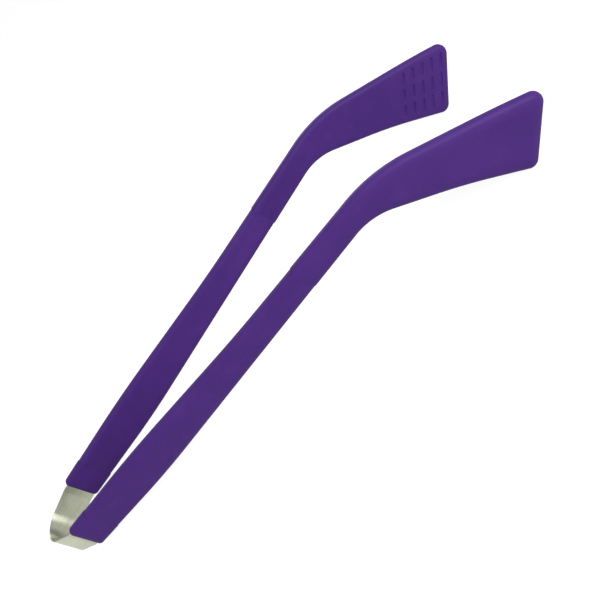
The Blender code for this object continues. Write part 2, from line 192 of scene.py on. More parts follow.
@dataclass(frozen=True)
class MouldedSilicone:
    """Compression-moulded food-grade silicone rubber.

    It is dyed right through and has a satin skin, a little lighter where it has been handled.
    The mould's spark-eroded grain breaks up the shine.
    """

    colour: str = "#43246F"
    deep_colour: str = "#3F216A"
    rubbed_colour: str = "#5F3D90"
    roughness: tuple[float, float] = (0.50, 0.60)
    ior: float = 1.41
    specular: float = 0.2
    cloud_size: float = 24 * MM
    mark_size: float = 7 * MM
    # Real mould grain is about 0.1 mm. It is drawn coarser so that it shows.
    grain_size: float = 0.45 * MM
    grain_depth: float = 0.012 * MM

    def material(self) -> bpy.types.Material:
        """Builds the material."""
        material = bpy.data.materials.new(Slot.SILICONE.value)
        material.use_nodes = True
        tree = material.node_tree
        shader = tree.nodes["Principled BSDF"]
        place = add_node(tree, "TexCoord").outputs["Object"]
        cloud = add_node(tree, "TexNoise", {"Vector": place, "Scale": 1 / self.cloud_size, "Detail": 3.0})
        depth = spread(tree, cloud.outputs["Fac"], (0.35, 0.65), (0.0, 1.0))
        body = tint(tree, depth, self.deep_colour, self.colour)
        marks = add_node(tree, "TexNoise", {"Vector": place, "Scale": 1 / self.mark_size, "Detail": 5.0})
        worn = spread(tree, marks.outputs["Fac"], (0.55, 0.80), (0.0, 0.14))
        skin = add_node(tree, "Mix", {"Factor": worn, "A": body}, data_type="RGBA")
        skin.inputs["B"].default_value = linear(self.rubbed_colour)
        tree.links.new(skin.outputs["Result"], shader.inputs["Base Color"])
        grain = add_node(tree, "TexNoise", {"Vector": place, "Scale": 1 / self.grain_size, "Detail": 2.0})
        gloss = spread(tree, cloud.outputs["Fac"], (0.3, 0.7), self.roughness)
        tree.links.new(gloss, shader.inputs["Roughness"])
        relief = {"Height": grain.outputs["Fac"], "Strength": 0.6, "Distance": self.grain_depth}
        bump = add_node(tree, "Bump", relief)
        tree.links.new(bump.outputs["Normal"], shader.inputs["Normal"])
        shader.inputs["IOR"].default_value = self.ior
        shader.inputs["Specular IOR Level"].default_value = self.specular
        return material


@dataclass(frozen=True)
class GlassFilledNylon:
    """Injection-moulded black nylon 66 with short glass fibre.

    The fibres near the skin show as faint grey flecks, and the surface is matt.
    """

    colour: str = "#1D1D1F"
    fleck_colour: str = "#3C3C3F"
    roughness: tuple[float, float] = (0.42, 0.62)
    ior: float = 1.53
    # Real fibres are about 0.3 mm long. They are drawn longer so that they show.
    fibre_length: float = 0.9 * MM
    fibre_relief: float = 0.02 * MM

    def material(self) -> bpy.types.Material:
        """Builds the material."""
        material = bpy.data.materials.new(Slot.NYLON.value)
        material.use_nodes = True
        tree = material.node_tree
        shader = tree.nodes["Principled BSDF"]
        place = add_node(tree, "TexCoord").outputs["Object"]
        along = add_node(tree, "Mapping", {"Vector": place, "Scale": (0.3, 1.0, 1.0)}).outputs["Vector"]
        fibre = add_node(tree, "TexNoise", {"Vector": along, "Scale": 1 / self.fibre_length, "Detail": 4.0})
        fleck = spread(tree, fibre.outputs["Fac"], (0.58, 0.78), (0.0, 0.6))
        tree.links.new(tint(tree, fleck, self.colour, self.fleck_colour), shader.inputs["Base Color"])
        gloss = spread(tree, fibre.outputs["Fac"], (0.3, 0.7), self.roughness)
        tree.links.new(gloss, shader.inputs["Roughness"])
        relief = {"Height": fibre.outputs["Fac"], "Strength": 0.3, "Distance": self.fibre_relief}
        bump = add_node(tree, "Bump", relief)
        tree.links.new(bump.outputs["Normal"], shader.inputs["Normal"])
        shader.inputs["IOR"].default_value = self.ior
        return material


@dataclass(frozen=True)
class RolledSpringSteel:
    """Cold-rolled stainless spring strip.

    Rolling leaves fine lines along the strip, so a satin shine breaks up across them. Handling leaves
    faint cloudy marks.
    """

    tilt: float
    colour: str = "#BEC2AC"
    dull_colour: str = "#AFB39E"
    roughness: tuple[float, float] = (0.34, 0.42)
    # The rolling lines scatter light across the strip far more than along it.
    anisotropy: float = 0.85
    # Real rolling lines are about 0.05 mm apart. They are drawn coarser so that they show.
    line_spacing: float = 0.35 * MM
    line_depth: float = 0.01 * MM
    cloud_size: float = 9 * MM

    def material(self) -> bpy.types.Material:
        """Builds the material."""
        material = bpy.data.materials.new(Slot.STEEL.value)
        material.use_nodes = True
        tree = material.node_tree
        shader = tree.nodes["Principled BSDF"]
        place = add_node(tree, "TexCoord").outputs["Object"]
        level = add_node(tree, "Mapping", {"Vector": place, "Rotation": (0.0, self.tilt, 0.0)})
        stretch = {"Vector": level.outputs["Vector"], "Scale": (0.02, 0.02, 1.0)}
        drawn = add_node(tree, "Mapping", stretch).outputs["Vector"]
        lines = add_node(tree, "TexNoise", {"Vector": drawn, "Scale": 1 / self.line_spacing, "Detail": 3.0})
        cloud = add_node(tree, "TexNoise", {"Vector": place, "Scale": 1 / self.cloud_size, "Detail": 4.0})
        both = add_node(tree, "Math", {0: lines.outputs["Fac"], 1: cloud.outputs["Fac"]}, operation="ADD")
        shade = spread(tree, both.outputs[0], (0.75, 1.25), (0.0, 1.0))
        tree.links.new(tint(tree, shade, self.dull_colour, self.colour), shader.inputs["Base Color"])
        gloss = spread(tree, both.outputs[0], (0.75, 1.25), self.roughness)
        tree.links.new(gloss, shader.inputs["Roughness"])
        relief = {"Height": lines.outputs["Fac"], "Strength": 0.25, "Distance": self.line_depth}
        bump = add_node(tree, "Bump", relief)
        tree.links.new(bump.outputs["Normal"], shader.inputs["Normal"])
        shader.inputs["Metallic"].default_value = 1.0
        shader.inputs["Anisotropic"].default_value = self.anisotropy
        width = add_node(tree, "CombineXYZ", {"X": math.sin(self.tilt), "Z": math.cos(self.tilt)})
        tree.links.new(width.outputs["Vector"], shader.inputs["Tangent"])
        return material


@dataclass
class Stance:
    """How the arms and the bow stand in the tongs, and how the tongs stand on the floor."""

    arm_angle: float = math.radians(5.06)
    arm_offset: float = 17.43 * MM
    strip_inwards: float = 1.25 * MM
    shoulder_at: float = 3.4 * MM
    shoulder_radius: float = 5.0 * MM
    bow_slope: float = math.radians(31)
    bow_radius: float = 11.6 * MM
    rivet_place: Vector = field(default_factory=lambda: Vector((14.0, 0.5, 0.0)) * MM)
    rest: Matrix = field(default_factory=Matrix)

    def __post_init__(self) -> None:
        """Works out the rest placing from a hinge's axis and from where a rivet is."""
        hinge = next(joint for joint in frame["joints"] if joint["child"] == "right_arm")
        up = Vector(hinge["axis"])
        tilted = Matrix.Rotation(math.atan2(up.x, up.z), 4, "Y")
        low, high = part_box("right_leg_rivet_1")
        offset = (Vector(low) + Vector(high)) / 2 - tilted @ self.arm(Side.RIGHT) @ self.rivet_place
        self.rest = Matrix.Translation(offset) @ tilted

    @property
    def tilt(self) -> float:
        """The angle about y from the floor's axes to the tongs' axes."""
        return math.atan2(self.rest[0][2], self.rest[0][0])

    @property
    def shoulder(self) -> Vector:
        """Where the left leg's straight line meets the bow's sloping line."""
        along = Vector((math.cos(self.arm_angle), math.sin(self.arm_angle)))
        out = Vector((-along.y, along.x))
        return Vector((0, self.arm_offset)) - self.strip_inwards * out - self.shoulder_at * along

    @property
    def bow_centre(self) -> float:
        """Where the centre of the bow's arc is along the tongs."""
        sin, cos = math.sin(self.bow_slope), math.cos(self.bow_slope)
        return self.shoulder.x - (self.shoulder.y * cos - self.bow_radius) / sin

    def arm(self, side: Side) -> Matrix:
        """The matrix from an arm's plane, with z outwards, to the world.

        Args:
            side: The arm.

        Returns:
            The matrix, which mirrors on the left arm. It is in the world once the tongs are placed.
        """
        cos, sin = math.cos(self.arm_angle), math.sin(self.arm_angle)
        along = Vector((cos, -side.value * sin, 0))
        out = Vector((-sin, -side.value * cos, 0))
        matrix = Matrix((along, Vector((0, 0, 1)), out)).transposed().to_4x4()
        matrix.translation = Vector((0, -side.value * self.arm_offset, 0))
        return self.rest @ matrix


@dataclass
class Corner:
    """One corner of a moulding's outline, and the side that runs from it to the next corner."""

    place: Vector
    edge: Edge = Edge.RIM
    radius: float = 0.0
    steps: int = 0
    inwards: bool = False


def crossing(start_a: Vector, along_a: Vector, start_b: Vector, along_b: Vector) -> Vector:
    """Finds where two straight lines of the plane cross.

    Args:
        start_a: A point of the first line.
        along_a: Its direction.
        start_b: A point of the second line.
        along_b: Its direction.

    Returns:
        The crossing point.
    """
    turn = along_a.x * along_b.y - along_a.y * along_b.x
    reach = start_b - start_a
    return start_a + along_a * ((reach.x * along_b.y - reach.y * along_b.x) / turn)


def outline(corners: list[Corner], rim_depth: float, butt_depth: float) -> list[Vector]:
    """Works out a rounded outline, moved inwards from its corners.

    Args:
        corners: The corners, counter-clockwise.
        rim_depth: How far the free edges move in.
        butt_depth: How far the butting ends move in.

    Returns:
        The outline's points, always as many for the same corners.
    """
    count = len(corners)
    depths = [rim_depth if corner.edge is Edge.RIM else butt_depth for corner in corners]
    sides = []
    for index, corner in enumerate(corners):
        along = (corners[(index + 1) % count].place - corner.place).normalized()
        sides.append((corner.place + depths[index] * Vector((-along.y, along.x)), along))
    places = [crossing(*sides[index - 1], *sides[index]) for index in range(count)]
    half_angles, reaches = [], []
    for index, corner in enumerate(corners):
        to_before, to_after = places[index - 1] - places[index], places[(index + 1) % count] - places[index]
        half_angles.append(to_before.angle(to_after) / 2)
        grown = corner.radius + rim_depth
        radius = grown if corner.inwards else max(corner.radius - rim_depth, LEAST_RADIUS)
        reaches.append(radius / math.tan(half_angles[-1]) if corner.steps else 0.0)
    for index in range(count):
        after = (index + 1) % count
        room = (places[after] - places[index]).length - LEAST_STRAIGHT
        over = reaches[index] + reaches[after] - room
        if over > 0:
            longer = index if reaches[index] > reaches[after] else after
            reaches[longer] -= over
    points = []
    for index, corner in enumerate(corners):
        if not corner.steps:
            points.append(places[index])
            continue
        to_before = (places[index - 1] - places[index]).normalized()
        to_after = (places[(index + 1) % count] - places[index]).normalized()
        to_middle = reaches[index] / math.cos(half_angles[index])
        middle = places[index] + (to_before + to_after).normalized() * to_middle
        start = places[index] + to_before * reaches[index] - middle
        sweep = start.angle_signed(places[index] + to_after * reaches[index] - middle)
        across = Vector((-start.y, start.x))
        for step in range(corner.steps + 1):
            angle = -sweep * step / corner.steps
            points.append(middle + start * math.cos(angle) + across * math.sin(angle))
    return points


@dataclass
class FaceShape:
    """The section of a moulding across one of its two faces, from the rim to the flat middle.

    The crown starts where the grip's rim is, so that the faces of neighbouring mouldings line up.
    """

    half_thickness: float
    proud: float = 0.0
    rounding: float = 1.7 * MM
    crown_width: float = 5.8 * MM
    crown_drop: float = 1.3 * MM
    crown_power: float = 2.5
    butt_rounding: float = 0.03 * MM
    rounding_steps: int = 7
    crown_steps: int = 7

    def height(self, depth: float) -> float:
        """The face's height at a distance in from the rim."""
        slope = max(1 - max(depth - self.proud, 0) / self.crown_width, 0) ** self.crown_power
        rise = self.half_thickness - self.crown_drop * slope
        if depth < self.rounding:
            rise -= self.rounding - math.sqrt(self.rounding**2 - (self.rounding - depth) ** 2)
        return rise

    def butt_depth(self, height: float) -> float:
        """How far a butting end is rounded back at a height."""
        over = max(height - (self.half_thickness - self.butt_rounding), 0)
        return self.butt_rounding - math.sqrt(max(self.butt_rounding**2 - over**2, 0))

    def rings(self) -> list[tuple[float, float, float]]:
        """Lists the rings that the face is drawn through.

        Returns:
            The rim depth, the butt depth and the height of each ring, from the rim inwards.
        """
        depths = []
        for step in range(self.rounding_steps + 1):
            depths.append(self.rounding * (1 - math.cos(math.pi / 2 * step / self.rounding_steps)))
        for step in range(1, self.crown_steps + 1):
            depths.append(self.rounding + (self.crown_width - self.rounding) * step / self.crown_steps)
        return [(depth, self.butt_depth(self.height(depth)), self.height(depth)) for depth in depths]


def loft(corners: list[Corner], outer: FaceShape, inner: FaceShape) -> bmesh.types.BMesh:
    """Draws a solid through rings of one outline, from its inner face over its rim to its outer face.

    Args:
        corners: The outline's corners.
        outer: The section of the outer face, at positive heights.
        inner: The section of the inner face, at negative heights.

    Returns:
        The closed solid.
    """
    rings = [(rim, butt, -height) for rim, butt, height in reversed(inner.rings())] + outer.rings()
    form = bmesh.new()
    first = outline(corners, rings[0][0], rings[0][1])
    row = [form.verts.new((point.x, point.y, rings[0][2])) for point in first]
    edges = [form.edges.new(pair) for pair in zip(row, row[1:] + row[:1])]
    bmesh.ops.contextual_create(form, geom=edges)
    for rim, butt, height in rings[1:]:
        made = bmesh.ops.extrude_edge_only(form, edges=edges)["geom"]
        fresh = {item for item in made if isinstance(item, bmesh.types.BMVert)}
        edges = [item for item in made if isinstance(item, bmesh.types.BMEdge)]
        row = [
            next(edge.other_vert(vert) for edge in vert.link_edges if edge.other_vert(vert) in fresh)
            for vert in row
        ]
        for vert, point in zip(row, outline(corners, rim, butt)):
            vert.co = (point.x, point.y, height)
    bmesh.ops.contextual_create(form, geom=edges)
    bmesh.ops.recalc_face_normals(form, faces=form.faces)
    return form


def slab(points: list[Vector], low: float, high: float) -> bmesh.types.BMesh:
    """Extrudes a flat outline between two heights.

    Args:
        points: The outline.
        low: The lower height.
        high: The upper height.

    Returns:
        The closed solid.
    """
    form = bmesh.new()
    verts = [form.verts.new((point.x, point.y, low)) for point in points]
    face = form.faces.new(verts)
    made = bmesh.ops.extrude_face_region(form, geom=[face])["geom"]
    lifted = [item for item in made if isinstance(item, bmesh.types.BMVert)]
    bmesh.ops.translate(form, verts=lifted, vec=(0, 0, high - low))
    bmesh.ops.recalc_face_normals(form, faces=form.faces)
    return form


def block(low: tuple[float, float, float], high: tuple[float, float, float]) -> bmesh.types.BMesh:
    """Makes a box between two opposite corners."""
    form = bmesh.new()
    bmesh.ops.create_cube(form, size=1.0)
    bmesh.ops.scale(form, verts=form.verts, vec=Vector(high) - Vector(low))
    bmesh.ops.translate(form, verts=form.verts, vec=(Vector(low) + Vector(high)) / 2)
    return form


def to_mesh(form: bmesh.types.BMesh, name: str) -> bpy.types.Mesh:
    """Turns a bmesh into a mesh and frees it."""
    mesh = bpy.data.meshes.new(name)
    form.to_mesh(mesh)
    form.free()
    return mesh


def carve(form: bmesh.types.BMesh, cutters: list[bmesh.types.BMesh], name: str) -> bpy.types.Mesh:
    """Takes solids away from a solid.

    Args:
        form: The solid.
        cutters: What is taken away, one after the other.
        name: The mesh's name.

    Returns:
        The mesh of what is left.
    """
    solid = bpy.data.objects.new(name, to_mesh(form, name))
    bpy.context.scene.collection.objects.link(solid)
    tools = []
    for number, cutter in enumerate(cutters):
        tool = bpy.data.objects.new(f"cutter_{number}", to_mesh(cutter, "cutter"))
        bpy.context.scene.collection.objects.link(tool)
        boolean = solid.modifiers.new("cut", "BOOLEAN")
        boolean.operation = "DIFFERENCE"
        boolean.solver = "MANIFOLD"
        boolean.object = tool
        tools.append(tool)
    graph = bpy.context.evaluated_depsgraph_get()
    mesh = bpy.data.meshes.new_from_object(solid.evaluated_get(graph))
    for thing in [solid, *tools]:
        bpy.data.objects.remove(thing, do_unlink=True)
    mesh.name = name
    return mesh


def finish_mesh(mesh: bpy.types.Mesh, matrix: Matrix, sharp_from: float) -> None:
    """Puts a mesh in its place, faces outwards, and sets its shading.

    Args:
        mesh: The mesh.
        matrix: Its place in the world, which may mirror it.
        sharp_from: The angle in degrees from which an edge stays sharp.
    """
    mesh.transform(matrix)
    form = bmesh.new()
    form.from_mesh(mesh)
    bmesh.ops.remove_doubles(form, verts=form.verts, dist=SAME_PLACE)
    bmesh.ops.dissolve_degenerate(form, dist=LEAST_EDGE, edges=form.edges)
    bmesh.ops.recalc_face_normals(form, faces=form.faces)
    form.to_mesh(mesh)
    form.free()
    mesh.shade_smooth()
    mesh.set_sharp_from_angle(angle=math.radians(sharp_from))


def new_piece(name: str, mesh: bpy.types.Mesh, material: bpy.types.Material) -> bpy.types.Object:
    """Makes a piece of the visual model, at the origin.

    Args:
        name: Its name.
        mesh: Its mesh, already in its place.
        material: Its finish.

    Returns:
        The piece.
    """
    piece = bpy.data.objects.new(name, mesh)
    bpy.context.scene.collection.objects.link(piece)
    dress(piece, material)
    log.info("%s: %d faces", name, len(mesh.polygons))
    return piece


@dataclass
class ArmCladding:
    """The three silicone mouldings over each arm: the end collar, the grip sleeve and the jaw sleeve."""

    stance: Stance
    material: bpy.types.Material

    # The handle. The widths are from the arm's middle line, where its straight edges meet.
    end_lower: float = 8.0 * MM
    end_upper: float = 9.6 * MM
    belly_at: float = 53.0 * MM
    belly_lower: float = 10.1 * MM
    belly_upper: float = 10.1 * MM
    belly_lower_radius: float = 490 * MM
    belly_upper_radius: float = 800 * MM
    waist_at: float = 130.0 * MM
    waist_upper: float = 6.7 * MM
    waist_radius: float = 800 * MM

    # The bend and the jaw.
    bend_inner: Vector = field(default_factory=lambda: Vector((205.4, -5.6)) * MM)
    bend_outer: Vector = field(default_factory=lambda: Vector((219.8, 6.5)) * MM)
    bend_inner_radius: float = 26.7 * MM
    bend_outer_radius: float = 62.2 * MM
    jaw_length: float = 72.0 * MM
    jaw_angle: float = math.radians(34.3)
    tip_width: float = 33.1 * MM
    tip_slant: float = math.radians(11.1)
    tip_lower_radius: float = 3.7 * MM
    tip_upper_radius: float = 4.4 * MM
    hollow: tuple[float, float, float] = (0.55, 1.7 * MM, 240 * MM)
    crown: tuple[float, float, float] = (0.75, 0.6 * MM, 525 * MM)

    # The mouldings.
    half_thickness: float = 3.0 * MM
    proud: float = 0.35 * MM
    collar_length: float = 13.4 * MM
    collar_wall: float = 2.0 * MM
    collar_corner_radius: float = 2.1 * MM
    jaw_from: float = 168.5 * MM
    parting: float = 0.01 * MM

    # The rooms for the core and for the strip.
    room_rim: float = 1.9 * MM
    room_half: float = 1.95 * MM
    slot_edges: tuple[float, float] = (-7.6 * MM, 8.6 * MM)
    slot_heights: tuple[float, float] = (-1.95 * MM, -0.55 * MM)

    # The grip grooves.
    groove_rows: int = 5
    grooves_per_row: int = 3
    groove_from_tip: float = 4.0 * MM
    groove_pitch: float = 5.0 * MM
    groove_radius: float = 0.7 * MM
    groove_depth: float = 0.5 * MM
    groove_bridge: float = 2.0 * MM
    groove_margin: float = 3.3 * MM

    def jaw_corners(self) -> tuple[Vector, ...]:
        """Works out the jaw's corners.

        Returns:
            The inner bend, the hollow, the tip's lower and upper corners, the crown and the outer bend.
        """
        reach = self.jaw_length * Vector((math.cos(self.jaw_angle), -math.sin(self.jaw_angle)))
        tip_middle = (self.bend_inner + self.bend_outer) / 2 + reach
        edge_angle = math.pi / 2 - self.jaw_angle - self.tip_slant
        half_tip = self.tip_width / 2 * Vector((math.cos(edge_angle), math.sin(edge_angle)))
        lower, upper = tip_middle - half_tip, tip_middle + half_tip
        hollow = self.bend_inner.lerp(lower, self.hollow[0])
        hollow += self.hollow[1] * (lower - self.bend_inner).normalized().orthogonal()
        crown = self.bend_outer.lerp(upper, self.crown[0])
        crown += self.crown[1] * (upper - self.bend_outer).normalized().orthogonal()
        return self.bend_inner, hollow, lower, upper, crown, self.bend_outer

    def handle_widths(self, place: float) -> tuple[float, float]:
        """Works out the widths where the handle's outline is straight: at its ends.

        Args:
            place: The place along the arm.

        Returns:
            The lower and the upper width from the arm's middle line.
        """
        if place < self.belly_at:
            share = place / self.belly_at
            lower = self.end_lower + share * (self.belly_lower - self.end_lower)
            upper = self.end_upper + share * (self.belly_upper - self.end_upper)
            return lower, upper
        share = (place - self.belly_at) / (self.bend_inner.x - self.belly_at)
        lower = self.belly_lower + share * (-self.bend_inner.y - self.belly_lower)
        share = (place - self.waist_at) / (self.bend_outer.x - self.waist_at)
        return lower, self.waist_upper + share * (self.bend_outer.y - self.waist_upper)

    def collar_corners(self) -> list[Corner]:
        """The outline of the end collar, before it is made proud."""
        lower, upper = self.handle_widths(0)
        far_lower, far_upper = self.handle_widths(self.collar_length)
        radius = self.collar_corner_radius
        return [
            Corner(Vector((-self.proud, -lower)), radius=radius, steps=12),
            Corner(Vector((self.collar_length, -far_lower)), Edge.BUTT),
            Corner(Vector((self.collar_length, far_upper))),
            Corner(Vector((-self.proud, upper)), radius=radius, steps=12),
        ]

    def grip_corners(self) -> list[Corner]:
        """The outline of the grip sleeve."""
        start, end = self.collar_length + self.parting, self.jaw_from - self.parting
        lower, upper = self.handle_widths(start)
        far_lower, far_upper = self.handle_widths(end)
        return [
            Corner(Vector((start, -lower))),
            Corner(Vector((self.belly_at, -self.belly_lower)), radius=self.belly_lower_radius, steps=14),
            Corner(Vector((end, -far_lower)), Edge.BUTT),
            Corner(Vector((end, far_upper))),
            Corner(
                Vector((self.waist_at, self.waist_upper)), radius=self.waist_radius, steps=12, inwards=True
            ),
            Corner(Vector((self.belly_at, self.belly_upper)), radius=self.belly_upper_radius, steps=14),
            Corner(Vector((start, upper)), Edge.BUTT),
        ]

    def jaw_outline_corners(self) -> list[Corner]:
        """The outline of the jaw sleeve, before it is made proud."""
        inner, hollow, lower, upper, crown, outer = self.jaw_corners()
        start_lower, start_upper = self.handle_widths(self.jaw_from)
        return [
            Corner(Vector((self.jaw_from, -start_lower))),
            Corner(inner, radius=self.bend_inner_radius, steps=18, inwards=True),
            Corner(hollow, radius=self.hollow[2], steps=12, inwards=True),
            Corner(lower, radius=self.tip_lower_radius, steps=12),
            Corner(upper, radius=self.tip_upper_radius, steps=12),
            Corner(crown, radius=self.crown[2], steps=12),
            Corner(outer, radius=self.bend_outer_radius, steps=18),
            Corner(Vector((self.jaw_from, start_upper)), Edge.BUTT),
        ]

    def grown(self, corners: list[Corner]) -> list[Corner]:
        """Moves an outline's free edges outwards, so that its moulding stands proud of the grip.

        Args:
            corners: The outline's corners.

        Returns:
            New corners.
        """
        bare = [Corner(corner.place, corner.edge) for corner in corners]
        places = outline(bare, -self.proud, 0.0)
        moved = []
        for corner, place in zip(corners, places):
            change = -self.proud if corner.inwards else self.proud
            radius = corner.radius + change if corner.steps else 0.0
            moved.append(Corner(place, corner.edge, radius, corner.steps, corner.inwards))
        return moved

    def room(self, corners: list[Corner], start: float, end: float) -> bmesh.types.BMesh:
        """The room for the core inside a moulding.

        Args:
            corners: The outline of the moulding, before it is made proud.
            start: Where the room starts along the arm, or short of the moulding to run out of it.
            end: Where it ends, or past the moulding to run out of it.

        Returns:
            The room as a solid.
        """
        points = outline(corners, self.room_rim, 0.0)
        low, high = min(point.x for point in points), max(point.x for point in points)
        for point in points:
            if abs(point.x - low) < LEAST_EDGE and start < low:
                point.x = start
            if abs(point.x - high) < LEAST_EDGE and end > high:
                point.x = end
        return slab(points, -self.room_half, self.room_half)

    def groove(self, length: float) -> bmesh.types.BMesh:
        """One grip groove's cutter: a round bar along x with rounded ends."""
        form = bmesh.new()
        radius = self.groove_radius
        bmesh.ops.create_cone(
            form, cap_ends=True, segments=32, radius1=radius, radius2=radius, depth=length + 2 * radius
        )
        ends = [edge for edge in form.edges if abs(edge.verts[0].co.z - edge.verts[1].co.z) < 1e-7]
        bmesh.ops.bevel(
            form, geom=ends, offset=radius * 0.9, affect="EDGES", segments=4, profile=0.5, material=-1
        )
        bmesh.ops.rotate(form, verts=form.verts, matrix=Matrix.Rotation(math.pi / 2, 3, "Y"))
        return form

    def grooves(self, face: float) -> bmesh.types.BMesh:
        """All the grip grooves of one jaw: rows parallel to the tip edge, each cut by bridges.

        Args:
            face: The height of the jaw's inner face.

        Returns:
            The grooves as solids.
        """
        _, hollow, lower, upper, crown, _ = self.jaw_corners()
        edge = (upper - lower).normalized()
        back = Vector((-edge.y, edge.x))
        turn = Matrix.Rotation(math.atan2(edge.y, edge.x), 4, "Z")
        form = bmesh.new()
        for row in range(self.groove_rows):
            start = lower + back * (self.groove_from_tip + row * self.groove_pitch)
            bottom = crossing(start, edge, lower, (hollow - lower).normalized()) + edge * self.groove_margin
            top = crossing(start, edge, upper, (crown - upper).normalized()) - edge * self.groove_margin
            run = (top - bottom).length - (self.grooves_per_row - 1) * self.groove_bridge
            length = run / self.grooves_per_row
            for number in range(self.grooves_per_row):
                middle = bottom + edge * (length / 2 + number * (length + self.groove_bridge))
                mesh = to_mesh(self.groove(length - 2 * self.groove_radius), "groove")
                height = face + self.groove_depth - self.groove_radius
                mesh.transform(Matrix.Translation((middle.x, middle.y, height)) @ turn)
                form.from_mesh(mesh)
                bpy.data.meshes.remove(mesh)
        bmesh.ops.recalc_face_normals(form, faces=form.faces)
        return form

    def place(self, side: Side, part: str, mesh: bpy.types.Mesh) -> bpy.types.Object:
        """Puts a moulding on its arm in the place of its CAD node.

        Args:
            side: The arm.
            part: The CAD node's name without its side.
            mesh: The moulding in the plane of the arm.

        Returns:
            The piece.
        """
        finish_mesh(mesh, self.stance.arm(side), 30)
        piece = new_piece(f"{side.word}_{part}_moulding", mesh, self.material)
        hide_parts(f"{side.word}_{part}")
        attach(piece, f"{side.word}_arm")
        return piece

    def build(self, side: Side) -> None:
        """Builds the three mouldings of one arm.

        Args:
            side: The arm.
        """
        outer = FaceShape(self.half_thickness)
        inner = FaceShape(self.half_thickness, crown_width=4.2 * MM, crown_drop=0.5 * MM)
        proud = [replace(shape, proud=self.proud) for shape in (outer, inner)]
        corners = self.collar_corners()
        form = loft(self.grown(corners), *proud)
        room = self.room(corners, 0, self.collar_length + MM)
        bmesh.ops.bisect_plane(
            room, geom=room.verts[:] + room.edges[:] + room.faces[:],
            plane_co=(self.collar_wall, 0, 0), plane_no=(-1, 0, 0), clear_outer=True,
        )
        bmesh.ops.holes_fill(room, edges=room.edges)
        slot_low = (-2 * MM, self.slot_edges[0], self.slot_heights[0])
        slot = block(slot_low, (self.collar_wall + 0.2 * MM, self.slot_edges[1], self.slot_heights[1]))
        self.place(side, "end_collar", carve(form, [room, slot], "end_collar"))

        corners = self.grip_corners()
        form = loft(corners, outer, inner)
        room = self.room(corners, 0, self.jaw_from + MM)
        self.place(side, "grip_sleeve", carve(form, [room], "grip_sleeve"))

        corners = self.jaw_outline_corners()
        form = loft(self.grown(corners), *proud)
        room = self.room(corners, self.jaw_from - MM, 0)
        self.place(side, "jaw_sleeve", carve(form, [room, self.grooves(-self.half_thickness)], "jaw_sleeve"))


